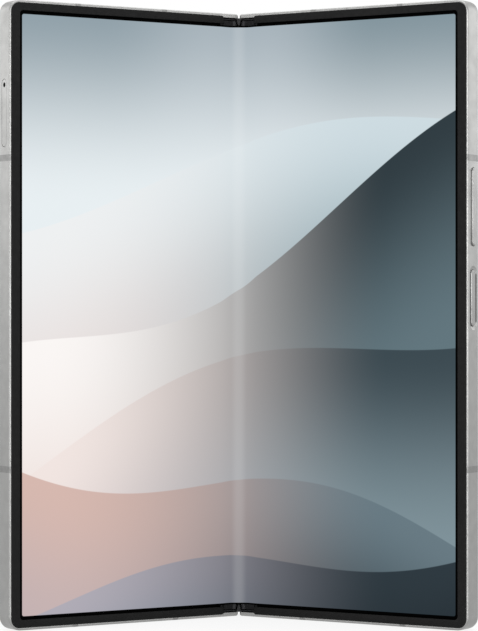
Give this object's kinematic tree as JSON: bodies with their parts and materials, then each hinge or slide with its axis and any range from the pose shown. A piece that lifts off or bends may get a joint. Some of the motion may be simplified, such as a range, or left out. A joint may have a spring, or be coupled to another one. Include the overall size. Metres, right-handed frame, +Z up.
{
  "type": "foldable smartphone",
  "caption": "Book-style foldable smartphone, half open and standing on its lower edges, with a geared hinge, a flexible inner display, working keys and a card tray.",
  "frame": {"origin": "centre of the bounding box's base, on the surface that the phone stands on, in the plane of symmetry of the fold", "axes": "+Z up along the hinge axes, +X to the right seen from the open inner display, which faces -Y; the spine is towards +Y"},
  "size_m": [0.1168, 0.04, 0.1535],
  "materials": {
    "polished_aluminium": "bead blasted, polished edges",
    "antenna_plastic": "satin",
    "bezel_plastic": "matte",
    "cap_plastic": "matte",
    "plug_plastic": "matte",
    "flexible_screen": "gloss, lit picture",
    "backing_steel": "brushed",
    "hinge_steel": "ground",
    "gear_steel": "ground",
    "spring_steel": "satin",
    "screw_steel": "blackened",
    "washer_bronze": "satin",
    "flex_polyimide": "satin",
    "cover_glass": "gloss",
    "rear_glass": "frosted",
    "lens_glass": "coated gloss",
    "flash_plastic": "gloss",
    "panel_black": "gloss",
    "sensor_black": "matte",
    "battery_film": "satin film",
    "board_green": "solder mask",
    "speaker_black": "matte",
    "mesh_steel": "woven",
    "shield_steel": "satin",
    "coil_copper": "varnished copper",
    "switch_gold": "gold plated"
  },
  "bodies": {
    "spine": {"spine_cover": "polished_aluminium", "spine_end_caps": "plug_plastic", "hinge_blocks": "hinge_steel", "hinge_block_screws": "screw_steel", "hinge_shafts": "hinge_steel", "idler_pins": "hinge_steel", "friction_washers": "washer_bronze", "disc_springs": "spring_steel", "hinge_flex_cable": "flex_polyimide", "flexible_display_fold": "flexible_screen"},
    "left_idlers": {"left_idler_gears": "gear_steel"},
    "right_idlers": {"right_idler_gears": "gear_steel"},
    "left_half": {"left_frame": "polished_aluminium", "left_antenna_bands": "antenna_plastic", "left_bezel": "bezel_plastic", "left_fold_caps": "cap_plastic", "left_display_backing": "backing_steel", "flexible_display_left": "flexible_screen", "left_hinge_arms": "hinge_steel", "left_arm_gears": "gear_steel", "left_arm_screws": "screw_steel", "left_wing_pin": "hinge_steel", "cover_glass": "cover_glass", "cover_display_panel": "panel_black", "cover_camera": "sensor_black", "left_battery": "battery_film", "sub_board": "board_green", "speakers": "speaker_black", "speaker_meshes": "mesh_steel", "card_reader": "shield_steel", "haptic_motor": "shield_steel", "left_flex_tail": "flex_polyimide"},
    "right_half": {"right_frame": "polished_aluminium", "right_antenna_bands": "antenna_plastic", "right_bezel": "bezel_plastic", "right_fold_caps": "cap_plastic", "right_display_backing": "backing_steel", "flexible_display_right": "flexible_screen", "right_hinge_arms": "hinge_steel", "right_arm_gears": "gear_steel", "right_arm_screws": "screw_steel", "right_wing_pin": "hinge_steel", "rear_glass": "rear_glass", "camera_island": "polished_aluminium", "camera_lens_rings": "polished_aluminium", "camera_lenses": "lens_glass", "flash_lens": "flash_plastic", "camera_modules": "sensor_black", "under_display_camera": "sensor_black", "right_battery": "battery_film", "main_board": "board_green", "charging_coil": "coil_copper", "usb_c_port": "shield_steel", "key_switches": "switch_gold", "right_flex_tail": "flex_polyimide"},
    "left_wing": {"left_wing_plate": "backing_steel"},
    "right_wing": {"right_wing_plate": "backing_steel"},
    "volume_key": {"volume_key": "polished_aluminium"},
    "power_key": {"power_key": "polished_aluminium"},
    "card_tray": {"card_tray": "polished_aluminium"}
  },
  "joints": [
    {"name": "fold_right", "type": "hinge", "parent": "spine", "child": "right_half", "pos_m": [0.0019, 0.01561, 0], "axis": [0, 0, -1], "range_deg": [-32.2, 57.8], "deforming": ["flexible_display_fold"]},
    {"name": "fold_left", "type": "hinge", "parent": "spine", "child": "left_half", "pos_m": [-0.0019, 0.01561, 0], "axis": [0, 0, 1], "range_deg": [-32.2, 57.8]},
    {"name": "turn_left_idlers", "type": "hinge", "parent": "spine", "child": "left_idlers", "pos_m": [-0.0009, 0.01711, 0], "axis": [0, 0, 1], "range_deg": [-57.8, 32.2]},
    {"name": "turn_right_idlers", "type": "hinge", "parent": "spine", "child": "right_idlers", "pos_m": [0.0009, 0.01711, 0], "axis": [0, 0, 1], "range_deg": [-32.2, 57.8]},
    {"name": "lean_right_wing", "type": "hinge", "parent": "right_half", "child": "right_wing", "pos_m": [0.00505, 0.01292, 0], "axis": [0, 0, -1], "range_deg": [-9.66, 17.34]},
    {"name": "lean_left_wing", "type": "hinge", "parent": "left_half", "child": "left_wing", "pos_m": [-0.00505, 0.01292, 0], "axis": [0, 0, 1], "range_deg": [-9.66, 17.34]},
    {"name": "rock_volume_key", "type": "hinge", "parent": "right_half", "child": "volume_key", "pos_m": [0.05534, -0.01644, 0.1031], "axis": [-0.5329, -0.8462, 0], "range_deg": [-1, 1], "stiffness_Nm_per_rad": 0.3},
    {"name": "press_power_key", "type": "slide", "parent": "right_half", "child": "power_key", "axis": [-0.8462, 0.5329, 0], "range_m": [0, 0.0002], "stiffness_N_per_m": 8000, "springref_m": -0.00015},
    {"name": "slide_card_tray", "type": "slide", "parent": "left_half", "child": "card_tray", "axis": [-0.8462, -0.5329, 0], "range_m": [0, 0.017]}
  ],
  "couplings": [
    {"joint": "fold_left", "follows": "fold_right", "ratio": 1},
    {"joint": "turn_left_idlers", "follows": "fold_right", "ratio": -1},
    {"joint": "turn_right_idlers", "follows": "fold_right", "ratio": 1},
    {"joint": "lean_right_wing", "follows": "fold_right", "ratio": 0.3},
    {"joint": "lean_left_wing", "follows": "fold_right", "ratio": 0.3}
  ]
}
